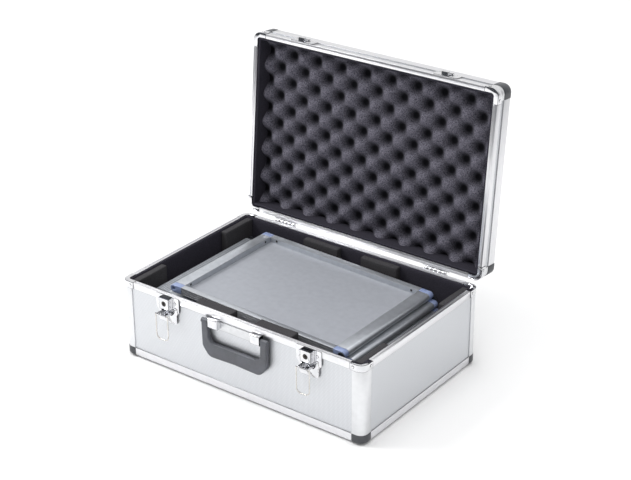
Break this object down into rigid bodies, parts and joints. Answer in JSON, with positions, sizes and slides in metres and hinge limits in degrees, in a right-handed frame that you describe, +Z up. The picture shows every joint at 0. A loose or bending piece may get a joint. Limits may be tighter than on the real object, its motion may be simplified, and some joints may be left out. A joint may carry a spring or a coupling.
{
  "type": "art supply case",
  "caption": "Aluminium-framed carrying case with foam lining, open hinged lid, wire latches, swinging handle and a folded stack of trays.",
  "frame": {"origin": "on the floor, under the middle of the base", "axes": "+X to the right along the front, +Y from the front to the hinged back, +Z up"},
  "size_m": [0.4626, 0.3998, 0.4509],
  "materials": {
    "aluminium_panel": "embossed sheet",
    "aluminium_profile": "satin anodised extrusion",
    "chrome_fittings": "bright plated pressing",
    "lock_metal": "turned and plated",
    "bracket_metal": "satin",
    "handle_plastic": "moulded, fine grain",
    "corner_plastic": "moulded, satin",
    "rubber_feet": "moulded",
    "lining_foam": "closed-cell foam, matt",
    "block_foam": "closed-cell foam, matt",
    "egg_crate": "open-cell convoluted foam, matt",
    "tray_aluminium": "satin anodised",
    "tray_sheet_metal": "fine matt",
    "tray_cap_plastic": "moulded",
    "link_plastic": "moulded"
  },
  "bodies": {
    "case": {"back_foam_blocks": "block_foam", "base_back_panel": "aluminium_panel", "base_bottom_panel": "aluminium_panel", "base_corner_caps": "corner_plastic", "base_corner_posts": "aluminium_profile", "base_edge_profiles": "aluminium_profile", "base_front_panel": "aluminium_panel", "base_left_panel": "aluminium_panel", "base_right_panel": "aluminium_panel", "base_rim_corners": "chrome_fittings", "base_rim_profiles": "aluminium_profile", "base_rim_rivets": "chrome_fittings", "corner_foam_blocks": "block_foam", "feet": "rubber_feet", "floor_foam": "lining_foam", "front_foam_blocks": "block_foam", "handle_bracket": "bracket_metal", "handle_end_caps": "chrome_fittings", "handle_pins": "chrome_fittings", "hinge_base_leaves": "chrome_fittings", "hinge_pins": "chrome_fittings", "latch_pins": "chrome_fittings", "latch_plates": "chrome_fittings", "latch_rivets": "chrome_fittings", "lock_housings": "chrome_fittings", "wall_foam": "lining_foam"},
    "lid": {"lid_corner_caps": "corner_plastic", "lid_corner_posts": "aluminium_profile", "lid_edge_profiles": "aluminium_profile", "lid_rim_corners": "chrome_fittings", "lid_rim_profiles": "aluminium_profile", "lid_rim_rivets": "chrome_fittings", "lid_side_foam": "lining_foam", "lid_side_panels": "aluminium_panel", "lid_strikes": "chrome_fittings", "lid_top_panel": "aluminium_panel", "hinge_lid_leaves": "chrome_fittings", "egg_crate_foam": "egg_crate"},
    "handle": {"handle_grip": "handle_plastic"},
    "latch_lever_left": {"latch_lever_left": "chrome_fittings"},
    "latch_lever_right": {"latch_lever_right": "chrome_fittings"},
    "latch_bail_left": {"latch_bail_left": "chrome_fittings"},
    "latch_bail_right": {"latch_bail_right": "chrome_fittings"},
    "lock_cylinder_left": {"lock_cylinder_left": "lock_metal"},
    "lock_cylinder_right": {"lock_cylinder_right": "lock_metal"},
    "base_frame": {"base_frame_rails": "tray_aluminium", "base_frame_corner_caps": "tray_cap_plastic", "stack_risers": "link_plastic", "lower_links": "link_plastic"},
    "lower_tray": {"lower_tray_rails": "tray_aluminium", "lower_tray_corner_caps": "tray_cap_plastic", "lower_tray_sheet": "tray_sheet_metal", "middle_links": "link_plastic"},
    "link_frame": {"link_frame_rails": "tray_aluminium", "link_frame_corner_caps": "tray_cap_plastic", "upper_links": "link_plastic"},
    "top_tray": {"top_tray_rails": "tray_aluminium", "top_tray_corner_caps": "tray_cap_plastic", "top_tray_sheet": "tray_sheet_metal", "top_tray_screws": "chrome_fittings"}
  },
  "joints": [
    {"name": "lid_hinge", "type": "hinge", "parent": "case", "child": "lid", "pos_m": [0, 0.1577, 0.1334], "axis": [1, 0, 0], "range_deg": [0, 95.2]},
    {"name": "handle_swing", "type": "hinge", "parent": "case", "child": "handle", "pos_m": [0, -0.1582, 0.1176], "axis": [1, 0, 0], "range_deg": [-95, 0]},
    {"name": "latch_lever_left_turn", "type": "hinge", "parent": "case", "child": "latch_lever_left", "pos_m": [-0.135, -0.1575, 0.106], "axis": [1, 0, 0], "range_deg": [0, 88]},
    {"name": "latch_lever_right_turn", "type": "hinge", "parent": "case", "child": "latch_lever_right", "pos_m": [0.135, -0.1575, 0.106], "axis": [1, 0, 0], "range_deg": [0, 88]},
    {"name": "latch_bail_left_swing", "type": "hinge", "parent": "latch_lever_left", "child": "latch_bail_left", "pos_m": [-0.135, -0.1691, 0.106], "axis": [1, 0, 0], "range_deg": [-268, 0]},
    {"name": "latch_bail_right_swing", "type": "hinge", "parent": "latch_lever_right", "child": "latch_bail_right", "pos_m": [0.135, -0.1691, 0.106], "axis": [1, 0, 0], "range_deg": [-268, 0]},
    {"name": "lock_cylinder_left_turn", "type": "hinge", "parent": "case", "child": "lock_cylinder_left", "pos_m": [-0.135, -0.16, 0.1227], "axis": [0, 1, 0], "range_deg": [0, 90]},
    {"name": "lock_cylinder_right_turn", "type": "hinge", "parent": "case", "child": "lock_cylinder_right", "pos_m": [0.135, -0.16, 0.1227], "axis": [0, 1, 0], "range_deg": [0, 90]},
    {"name": "stack_lift_out", "type": "slide", "parent": "case", "child": "base_frame", "axis": [0, 0, 1], "range_m": [0, 0.41]},
    {"name": "lower_tray_fold", "type": "hinge", "parent": "base_frame", "child": "lower_tray", "pos_m": [0.1764, 0, 0.0863], "axis": [0, 1, 0], "range_deg": [0, 35]},
    {"name": "link_frame_fold", "type": "hinge", "parent": "lower_tray", "child": "link_frame", "pos_m": [-0.19286, 0, 0.10489], "axis": [0, 1, 0], "range_deg": [-60, 0]},
    {"name": "top_tray_fold", "type": "hinge", "parent": "link_frame", "child": "top_tray", "pos_m": [0.1643, 0, 0.1123], "axis": [0, 1, 0], "range_deg": [0, 95]}
  ],
  "couplings": [
    {"joint": "latch_bail_left_swing", "follows": "latch_lever_left_turn", "ratio": -3.045},
    {"joint": "latch_bail_right_swing", "follows": "latch_lever_right_turn", "ratio": -3.045}
  ]
}
